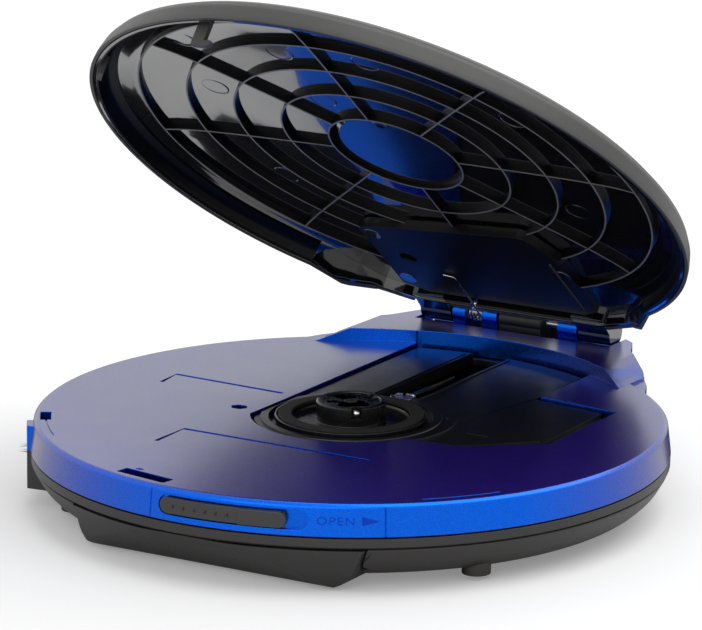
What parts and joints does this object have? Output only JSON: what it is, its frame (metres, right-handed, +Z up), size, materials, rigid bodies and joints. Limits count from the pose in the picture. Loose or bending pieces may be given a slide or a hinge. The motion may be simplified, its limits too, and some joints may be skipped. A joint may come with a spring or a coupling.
{
  "type": "portable cd player",
  "caption": "Round clamshell disc player with hinged lid, spindle hub, sliding laser pickup, side control strip and underside battery door.",
  "frame": {"origin": "where the disc axis meets the flat middle of the case's underside, on the underside mount's face; the rubber feet reach 0.8 mm below it", "axes": "+Z up along the disc axis, +Y towards the lid hinge, -Y the front with the release slider, -X the jack panel"},
  "size_m": [0.1389, 0.1482, 0.1133],
  "materials": {
    "deck_blue": "metallic royal blue lacquer over moulded plastic, satin deck and bright band",
    "case_black": "dark grey satin moulded plastic",
    "lid_grey": "dark warm grey satin lid",
    "gloss_black": "high gloss black moulding",
    "satin_black": "fine satin black moulding",
    "knob_grey": "soft dark grey controls",
    "steel": "bright nickel plate",
    "rubber": "matt rubber",
    "board_green": "solder-masked circuit board",
    "gear_white": "natural acetal",
    "lens_glass": "coated lens",
    "display_grey": "reflective display glass"
  },
  "bodies": {
    "base": {"top_deck": "deck_blue", "bottom_case": "case_black", "hinge_pin_left": "steel", "hinge_pin_right": "steel", "hinge_cable_cover": "satin_black", "mechanism_chassis": "satin_black", "spindle_motor": "steel", "guide_rod_main": "steel", "guide_rod_sub": "steel", "sled_motor": "steel", "main_board": "board_green", "signal_chip": "satin_black", "headphone_jack": "satin_black", "dc_jack": "satin_black", "volume_pot": "steel", "battery_link": "steel", "battery_spring": "steel", "battery_contact": "steel", "rubber_foot_1": "rubber", "rubber_foot_2": "rubber", "rubber_foot_3": "rubber", "rubber_foot_4": "rubber", "case_screw_1": "steel", "case_screw_2": "steel", "case_screw_3": "steel", "case_screw_4": "steel", "chassis_damper_1": "rubber", "chassis_damper_2": "rubber", "chassis_damper_3": "rubber"},
    "lid": {"lid_cover": "lid_grey", "lid_liner": "gloss_black", "lid_hinge_plate": "satin_black", "lid_spring": "steel", "plate_screw_1": "steel", "plate_screw_2": "steel", "plate_screw_3": "steel", "control_board": "board_green", "display_panel": "display_grey", "display_window": "gloss_black"},
    "play_key": {"play_button": "knob_grey"},
    "stop_key": {"stop_button": "knob_grey"},
    "back_key": {"back_button": "knob_grey"},
    "forward_key": {"forward_button": "knob_grey"},
    "spindle": {"turntable": "satin_black", "disc_pad": "rubber", "spindle_shaft": "steel"},
    "ball_1": {"hub_ball_1": "steel"},
    "ball_2": {"hub_ball_2": "steel"},
    "ball_3": {"hub_ball_3": "steel"},
    "sled": {"pickup_sled": "satin_black"},
    "lens": {"pickup_lens": "lens_glass"},
    "sled_gear": {"drive_gear": "gear_white"},
    "sled_pinion": {"motor_pinion": "gear_white"},
    "release": {"open_slider": "knob_grey", "latch_catch": "satin_black"},
    "door": {"battery_door": "case_black"},
    "volume": {"volume_wheel": "knob_grey"},
    "hold": {"hold_switch": "knob_grey"}
  },
  "joints": [
    {"name": "lid_hinge", "type": "hinge", "parent": "base", "child": "lid", "pos_m": [0, 0.075, 0.0232], "axis": [-1, 0, 0], "range_deg": [-39.2, 0], "stiffness_Nm_per_rad": 0.03, "springref_deg": 63.03},
    {"name": "play_press", "type": "slide", "parent": "lid", "child": "play_key", "axis": [0, -0.632, -0.7749], "range_m": [0, 0.0004], "stiffness_N_per_m": 150, "springref_m": -0.0005},
    {"name": "stop_press", "type": "slide", "parent": "lid", "child": "stop_key", "axis": [0, -0.632, -0.7749], "range_m": [0, 0.0004], "stiffness_N_per_m": 150, "springref_m": -0.0005},
    {"name": "back_press", "type": "slide", "parent": "lid", "child": "back_key", "axis": [0, -0.632, -0.7749], "range_m": [0, 0.0004], "stiffness_N_per_m": 150, "springref_m": -0.0005},
    {"name": "forward_press", "type": "slide", "parent": "lid", "child": "forward_key", "axis": [0, -0.632, -0.7749], "range_m": [0, 0.0004], "stiffness_N_per_m": 150, "springref_m": -0.0005},
    {"name": "turntable_spin", "type": "hinge", "parent": "base", "child": "spindle", "pos_m": [0, 0, 0.0182], "axis": [0, 0, 1], "continuous": true},
    {"name": "ball_1_push", "type": "slide", "parent": "spindle", "child": "ball_1", "axis": [-0.6428, 0.766, 0], "range_m": [0, 0.0005], "stiffness_N_per_m": 100, "springref_m": -0.0005},
    {"name": "ball_2_push", "type": "slide", "parent": "spindle", "child": "ball_2", "axis": [-0.342, -0.9397, 0], "range_m": [0, 0.0005], "stiffness_N_per_m": 100, "springref_m": -0.0005},
    {"name": "ball_3_push", "type": "slide", "parent": "spindle", "child": "ball_3", "axis": [0.9848, 0.1736, 0], "range_m": [0, 0.0005], "stiffness_N_per_m": 100, "springref_m": -0.0005},
    {"name": "sled_travel", "type": "slide", "parent": "base", "child": "sled", "axis": [0, 1, 0], "range_m": [0, 0.0335]},
    {"name": "lens_focus", "type": "slide", "parent": "sled", "child": "lens", "axis": [0, 0, 1], "range_m": [-0.0004, 0.0004], "stiffness_N_per_m": 30},
    {"name": "drive_gear_turn", "type": "hinge", "parent": "base", "child": "sled_gear", "pos_m": [0.019, 0.024, 0.0102], "axis": [0, 0, 1], "range_deg": [-490, 10]},
    {"name": "motor_pinion_turn", "type": "hinge", "parent": "base", "child": "sled_pinion", "pos_m": [0.02887, 0.0183, 0.0072], "axis": [0, 0, 1], "range_deg": [-20, 1830]},
    {"name": "open_slide", "type": "hinge", "parent": "base", "child": "release", "pos_m": [0, 0, 0.0147], "axis": [0, 0, 1], "range_deg": [0, 3.3], "stiffness_Nm_per_rad": 0.4, "springref_deg": -5.73},
    {"name": "door_slide", "type": "slide", "parent": "base", "child": "door", "axis": [0, -1, 0], "range_m": [0, 0.03]},
    {"name": "volume_turn", "type": "hinge", "parent": "base", "child": "volume", "pos_m": [-0.0634, 0.007, 0.0086], "axis": [0, 0, 1], "range_deg": [0, 270]},
    {"name": "hold_slide", "type": "slide", "parent": "base", "child": "hold", "axis": [0, 1, 0], "range_m": [0, 0.0026]}
  ],
  "couplings": [
    {"joint": "drive_gear_turn", "follows": "sled_travel", "rad_per_m": -250},
    {"joint": "motor_pinion_turn", "follows": "sled_travel", "rad_per_m": 937.5}
  ]
}
